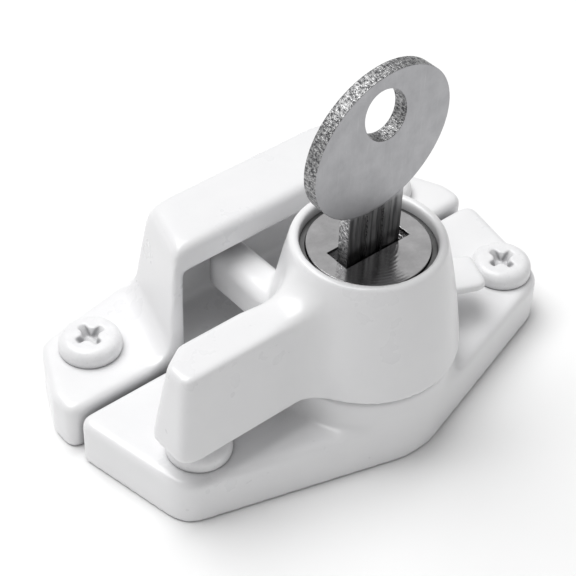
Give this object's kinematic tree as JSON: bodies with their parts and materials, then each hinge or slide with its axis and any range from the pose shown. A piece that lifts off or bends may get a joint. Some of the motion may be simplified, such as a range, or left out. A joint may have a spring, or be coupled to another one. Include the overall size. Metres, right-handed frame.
{
  "type": "window sash lock",
  "caption": "Keyed window sash lock: a lock body with a pivoting cam lever and key cylinder, and a hooded keeper the lever's prong locks under.",
  "frame": {"origin": "middle of the lock body's rear edge (the gap edge), on the seat plane, straight behind the lever axis", "axes": "+Z away from the seat plane, +X along the gap between lock body and keeper, +Y from the lock body towards the keeper"},
  "size_m": [0.0698, 0.0458, 0.0672],
  "materials": {
    "white_coat": "glossy white coat on a die casting",
    "screw_white": "white painted screw",
    "nickel_plate": "polished nickel plate",
    "key_nickel": "worn nickel plate, sheared edges",
    "zinc_plated_steel": "bright zinc plate",
    "spring_steel": "plain spring steel",
    "brass": "plain stamped brass",
    "nylon": "natural nylon"
  },
  "bodies": {
    "base_body": {"lock_base": "white_coat", "keeper": "white_coat", "base_screws": "screw_white", "keeper_screws": "screw_white", "thrust_washer": "nylon", "neck_bushing": "nylon"},
    "lever_body": {"lever": "white_coat", "cylinder_sleeve": "nickel_plate", "sleeve_pin": "zinc_plated_steel", "snap_ring": "spring_steel", "spring_washer": "spring_steel", "plug_washer": "nylon"},
    "plug_body": {"plug": "nickel_plate", "wafers": "brass", "wafer_springs": "spring_steel", "cam_disc": "zinc_plated_steel", "tail_screw": "zinc_plated_steel"},
    "bolt_body": {"lock_bolt": "zinc_plated_steel", "bolt_pin": "zinc_plated_steel"},
    "key_body": {"key": "key_nickel"}
  },
  "joints": [
    {"name": "lever_turn", "type": "hinge", "parent": "base_body", "child": "lever_body", "pos_m": [0, -0.01454, 0], "axis": [0, 0, 1], "range_deg": [0, 180]},
    {"name": "plug_turn", "type": "hinge", "parent": "lever_body", "child": "plug_body", "pos_m": [0, -0.01454, 0], "axis": [0, 0, 1], "range_deg": [0, 90]},
    {"name": "bolt_slide", "type": "slide", "parent": "lever_body", "child": "bolt_body", "axis": [1, 0, 0], "range_m": [0, 0.00221]},
    {"name": "key_withdraw", "type": "slide", "parent": "plug_body", "child": "key_body", "axis": [0, 0, 1], "range_m": [0, 0.025]}
  ],
  "couplings": [
    {"joint": "bolt_slide", "follows": "plug_turn", "m_per_rad": 0.0014005}
  ]
}
